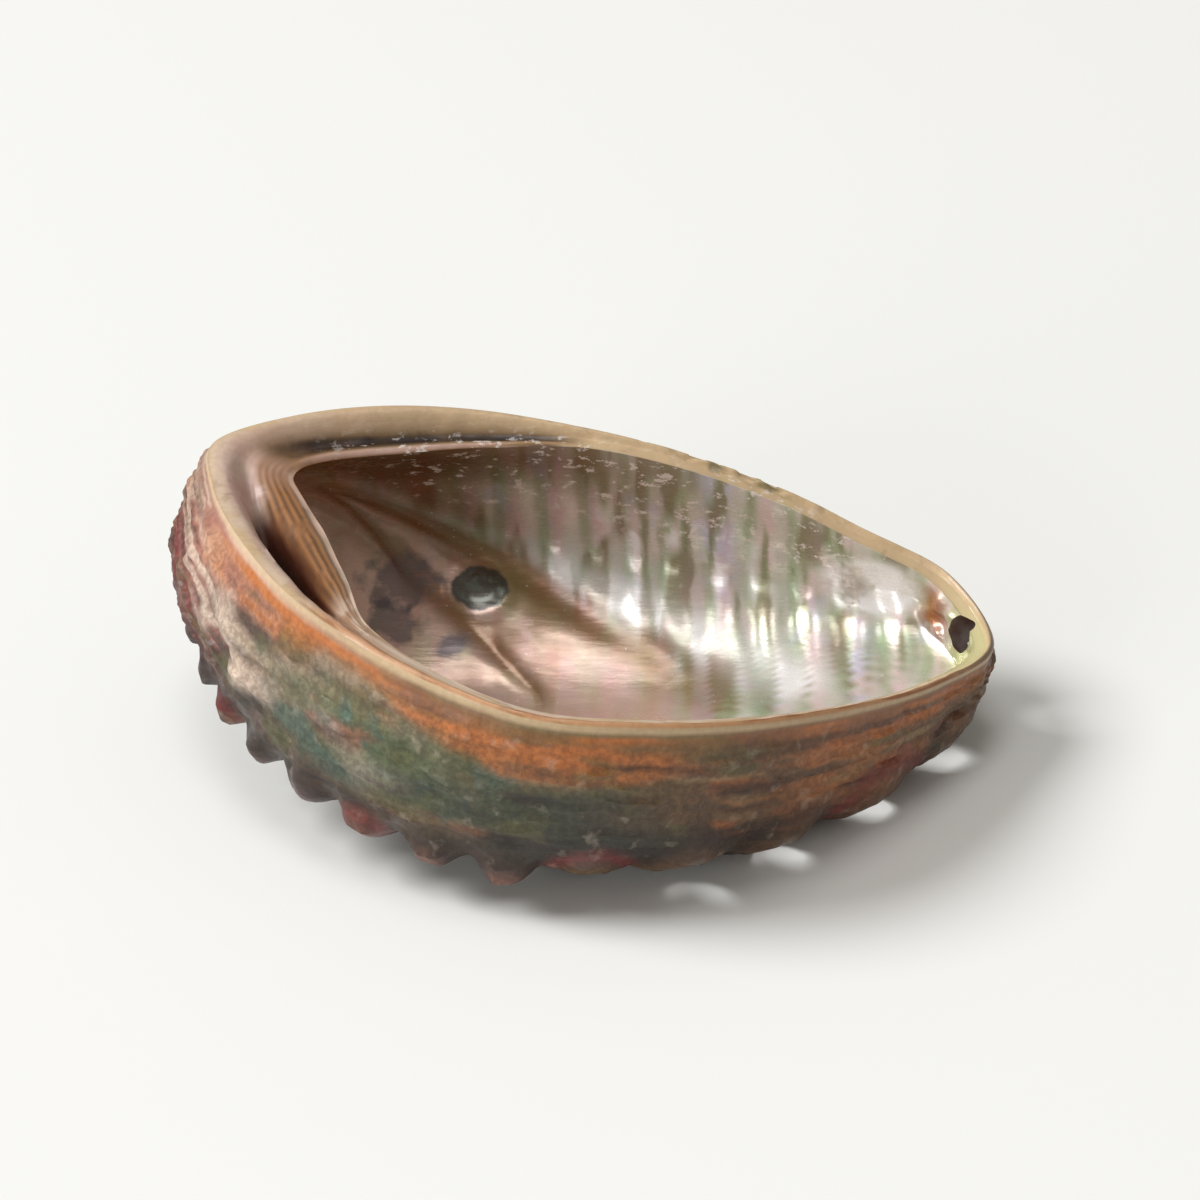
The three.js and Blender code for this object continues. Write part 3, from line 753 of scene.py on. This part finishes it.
def shellMaterial(shift):
    material = bpy.data.materials.new("abaloneShellMaterial")
    n = NodeBench(material)

    def awayFrom(place, radii, wobble):
        # 1 at the edge of a soft lump round place, with a wandering outline
        spot = n.add("ShaderNodeTexCoord")
        mapping = n.add("ShaderNodeMapping")
        for k in range(3):
            mapping.inputs["Scale"].default_value[k] = 1000 / radii[k]
            mapping.inputs["Location"].default_value[k] = -(place[k] + shift[k]) / radii[k]
        n.join(spot.outputs["Object"], mapping.inputs["Vector"])
        length = n.add("ShaderNodeVectorMath", operation="LENGTH")
        n.join(mapping.outputs["Vector"], length.inputs[0])
        edge = n.noise(500, 3)
        wander = n.spread(edge.outputs["Fac"], 0.3, 0.7, -wobble, wobble)
        return n.maths("ADD", length.outputs["Value"], wander)

    out = n.add("ShaderNodeOutputMaterial")
    body = n.add("ShaderNodeBsdfPrincipled")
    n.join(body.outputs[0], out.inputs["Surface"])
    tint, pearl = n.attribute("tint", "Color"), n.attribute("pearl", "Fac")
    gloss, crust = n.attribute("gloss", "Fac"), n.attribute("crust", "Fac")
    fine = n.noise(1400, 5)
    coarse = n.noise(420, 4)
    streak = n.noise(700, 4, (0.35, 1.0, 2.4))
    # crust: dark pits and pale chalky specks; pearl: soft clouds of pink and green, painted iridescent
    # sheen
    pits = n.maths("MULTIPLY", crust, n.spread(fine.outputs["Fac"], 0.42, 0.6, 0.75, 0.0))
    darker = n.mixColour("MULTIPLY", pits, tint, (0.28, 0.2, 0.16, 1))
    specks = n.maths("MULTIPLY", crust, n.spread(coarse.outputs["Fac"], 0.6, 0.72, 0.0, 0.35))
    chalk = n.mixColour("MIX", specks, darker, (0.62, 0.52, 0.42, 1))
    cloud = n.noise(260, 3, (1.0, 0.6, 0.6))
    pinkShare = n.maths("MULTIPLY", pearl, n.spread(cloud.outputs["Fac"], 0.52, 0.68, 0.0, 0.25))
    greenShare = n.maths("MULTIPLY", pearl, n.spread(cloud.outputs["Fac"], 0.48, 0.34, 0.0, 0.25))
    pinked = n.mixColour("SOFT_LIGHT", pinkShare, chalk, (0.95, 0.35, 0.62, 1))
    greened = n.mixColour("SOFT_LIGHT", greenShare, pinked, (0.35, 0.85, 0.55, 1))
    dust = n.noise(2600, 2)
    dustShare = n.maths("MULTIPLY", pearl, n.spread(dust.outputs["Fac"], 0.70, 0.76, 0.0, 0.6))
    dusted = n.mixColour("MIX", dustShare, greened, (0.8, 0.78, 0.74, 1))
    scuffs = n.noise(620, 4, (0.8, 1.0, 1.5), 0.75)
    scratched = n.spread(scuffs.outputs["Fac"], 0.57, 0.61, 0.0, 0.85)
    scuffShare = n.maths("MULTIPLY", n.attribute("scuff", "Fac"), scratched)
    scuffed = n.mixColour("MIX", scuffShare, dusted, (0.85, 0.78, 0.72, 1))
    blots = n.noise(1100, 4)
    tone = scuffed
    for place, radii, wobble, colour, strength in marks:
        away = awayFrom(place, radii, wobble)
        share = n.maths("MULTIPLY", pearl, n.spread(away, 0.55, 1.15, strength, 0.0))
        tone = n.mixColour("MIX", share, tone, colour)
    spot = awayFrom((closedSpot["x"], closedSpot["y"], closedSpot["z"]), closedSpot["radii"], 0.12)
    rim = n.maths("MULTIPLY", n.spread(spot, 0.98, 1.1, 1.0, 0.0), pearl)
    tone = n.mixColour("MIX", n.maths("MULTIPLY", rim, 0.9), tone, (0.045, 0.05, 0.04, 1))
    blotted = n.spread(blots.outputs["Fac"], 0.42, 0.62, 0.0, 0.85)
    inside = n.maths("MULTIPLY", n.spread(spot, 0.78, 0.92, 1.0, 0.0), blotted)
    tone = n.mixColour("MIX", n.maths("MULTIPLY", inside, pearl), tone, (0.13, 0.15, 0.12, 1))
    n.join(tone, body.inputs["Base Color"])
    n.join(n.maths("MULTIPLY", pearl, finish["pearlMetal"]), body.inputs["Metallic"])
    baseRough = n.spread(pearl, 0.0, 1.0, finish["shelfRough"], finish["pearlRough"])
    crusty = n.maths("MULTIPLY", crust, n.spread(coarse.outputs["Fac"], 0.35, 0.65, 0.05, 0.3))
    brushed = n.spread(streak.outputs["Fac"], 0.3, 0.7, -0.06, 0.08)
    roughness = n.maths("ADD", n.maths("ADD", baseRough, crusty), brushed)
    n.join(roughness, body.inputs["Roughness"])
    wet = n.maths("MULTIPLY", gloss, n.spread(coarse.outputs["Fac"], 0.35, 0.6, 0.5, 1.0))
    n.join(wet, body.inputs["Coat Weight"])
    body.inputs["Coat Roughness"].default_value = 0.18
    crustHeight = n.maths("MULTIPLY", crust, n.maths("ADD", fine.outputs["Fac"], coarse.outputs["Fac"]))
    height = n.maths("ADD", crustHeight, n.maths("MULTIPLY", streak.outputs["Fac"], 0.16))
    bump = n.add("ShaderNodeBump")
    bump.inputs["Strength"].default_value = 0.8
    bump.inputs["Distance"].default_value = finish["crustBump"]
    n.join(height, bump.inputs["Height"])
    n.join(bump.outputs["Normal"], body.inputs["Normal"])
    return material


def floorMaterial():
    material = bpy.data.materials.new("paleFloor")
    n = NodeBench(material)
    out = n.add("ShaderNodeOutputMaterial")
    body = n.add("ShaderNodeBsdfPrincipled")
    body.inputs["Base Color"].default_value = (0.86, 0.86, 0.835, 1)
    body.inputs["Roughness"].default_value = 0.9
    body.inputs["Specular IOR Level"].default_value = 0.1
    n.join(body.outputs[0], out.inputs["Surface"])
    return material


# Studio

studio = {
    "aim": (1.9, 3.9, 19.9), "distance": 420.0, "elevation": 30.0, "lens": 118.4,
    "keyPower": 134.0, "keySize": 1.9, "keyDistance": 4.0, "ambient": 0.27,
    "topPower": 8.0, "topSize": 0.8, "topPlace": (-0.15, -0.2, 1.95),
    "fillPower": 10.0, "fillSize": 0.9, "fillPlace": (-1.25, -1.45, 0.5), "floorSize": 6.0,
}


def point(obj, target):
    way = np.array(target) - np.array(obj.location)
    flat = math.hypot(way[0], way[1])
    obj.rotation_euler = (math.pi / 2 + math.atan2(way[2], flat), 0, math.atan2(-way[0], way[1]))


def setStudio():
    scene = bpy.context.scene
    scene.view_settings.view_transform = "Standard"
    aim = np.array(studio["aim"]) / 1000
    lift = math.radians(studio["elevation"])
    cameraData = bpy.data.cameras.new("camera")
    cameraData.lens = studio["lens"]
    cameraData.sensor_width = 36.0
    cameraData.clip_start = 0.01
    camera = bpy.data.objects.new("camera", cameraData)
    camera.location = aim + studio["distance"] / 1000 * np.array([0, -math.cos(lift), math.sin(lift)])
    point(camera, aim)
    scene.collection.objects.link(camera)
    scene.camera = camera
    keyData = bpy.data.lights.new("keyLight", "AREA")
    keyData.shape = "DISK"
    keyData.size = studio["keySize"]
    keyData.energy = studio["keyPower"]
    key = bpy.data.objects.new("keyLight", keyData)
    keyData.color = (0.985, 1.0, 1.015)
    key.location = studio["keyDistance"] * np.array([-0.707, 0.0, 0.707])
    point(key, (0, 0, 0))
    scene.collection.objects.link(key)
    for name in ("top", "fill"):
        softData = bpy.data.lights.new(name + "Light", "AREA")
        softData.shape = "DISK"
        softData.size = studio[name + "Size"]
        softData.energy = studio[name + "Power"]
        soft = bpy.data.objects.new(name + "Light", softData)
        soft.location = studio[name + "Place"]
        point(soft, (0, 0, 0))
        scene.collection.objects.link(soft)
    world = bpy.data.worlds.new("softRoom")
    world.use_nodes = True
    world.node_tree.nodes["Background"].inputs[0].default_value = (1, 0.95, 0.88, 1)
    world.node_tree.nodes["Background"].inputs[1].default_value = studio["ambient"]
    scene.world = world
    floorData = bpy.data.meshes.new("floor")
    s = studio["floorSize"] / 2
    floorData.from_pydata([(-s, -s, 0), (s, -s, 0), (s, s, 0), (-s, s, 0)], [], [(0, 1, 2, 3)])
    floorData.materials.append(floorMaterial())
    floor = bpy.data.objects.new("floor", floorData)
    scene.collection.objects.link(floor)
    print("studio ready")


setStudio()
shellPiece, shellShift = buildShell()
cutHoles(shellPiece, shellShift)
shellPiece.data.materials.append(shellMaterial(shellShift))
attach(shellPiece, "root")
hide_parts("shell")
print("shell placed")
